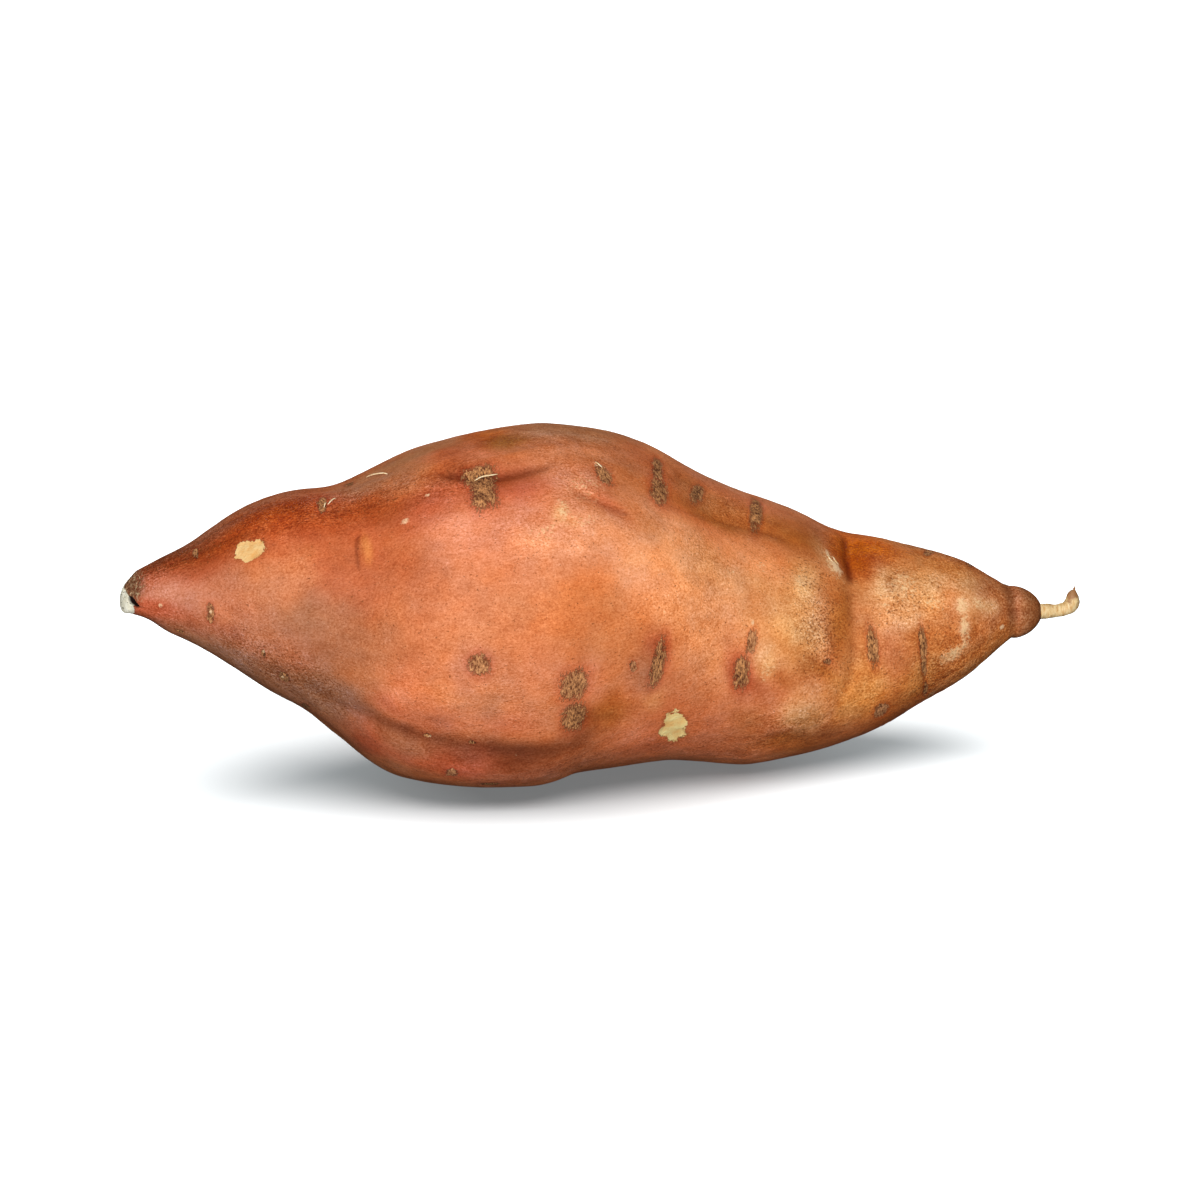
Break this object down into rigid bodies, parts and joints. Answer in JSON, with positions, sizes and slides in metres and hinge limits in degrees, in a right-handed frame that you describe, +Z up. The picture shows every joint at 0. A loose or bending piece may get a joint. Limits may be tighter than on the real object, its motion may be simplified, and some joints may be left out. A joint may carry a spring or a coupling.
{
  "type": "sweet potato",
  "caption": "Raw sweet potato lying on its side: spindle-shaped root with orange-pink skin, corky scars, a cut stem end and a short thick rootlet turning up at the other end.",
  "frame": {"origin": "on the surface the root rests on, under the middle of its bounding box", "axes": "+X along the root from the cut stem end to the rootlet, +Z up, the side with most of the marks faces -Y"},
  "size_m": [0.1978, 0.0746, 0.0731],
  "materials": {
    "skin": "matt raw root skin, slightly satin where it is clean"
  },
  "bodies": {
    "root": {"sweet_potato": "skin"}
  },
  "joints": []
}
